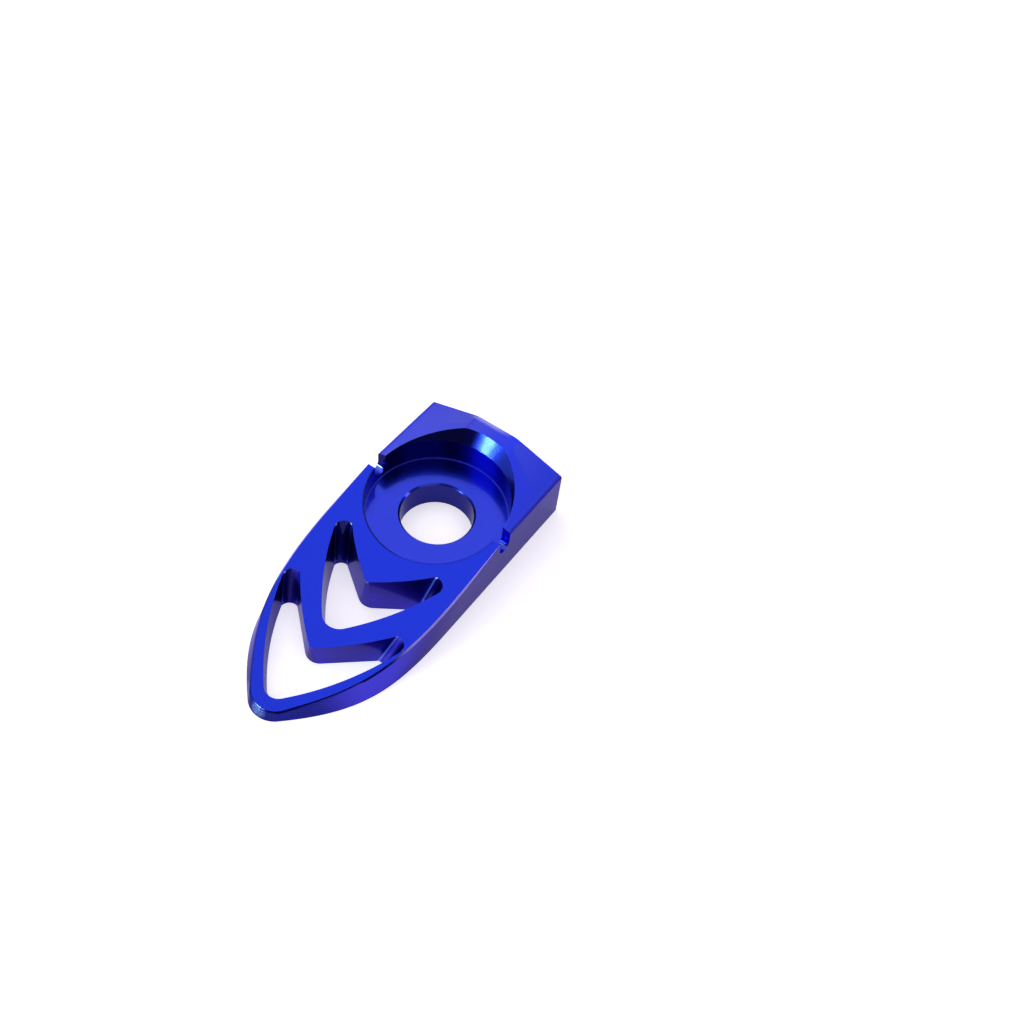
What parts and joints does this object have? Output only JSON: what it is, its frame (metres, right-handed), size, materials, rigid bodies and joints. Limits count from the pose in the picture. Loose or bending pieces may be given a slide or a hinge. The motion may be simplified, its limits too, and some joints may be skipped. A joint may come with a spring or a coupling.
{
  "type": "motorcycle chain adjuster block",
  "caption": "Wedge-shaped chain adjuster block with an axle bore in a round recess, index slots in its side walls and V-shaped windows in a leaf-shaped nose.",
  "frame": {"origin": "centre of the axle bore at the flat back face", "axes": "+Z along the bore out of the recess, +Y from the axle towards the pointed nose, +X across the width; the back face lies on Z = 0"},
  "size_m": [0.0438, 0.0985, 0.0193],
  "materials": {
    "anodised_aluminium": "satin royal blue anodised, fine milling marks"
  },
  "bodies": {
    "root": {"adjuster_block": "anodised_aluminium"}
  },
  "joints": []
}
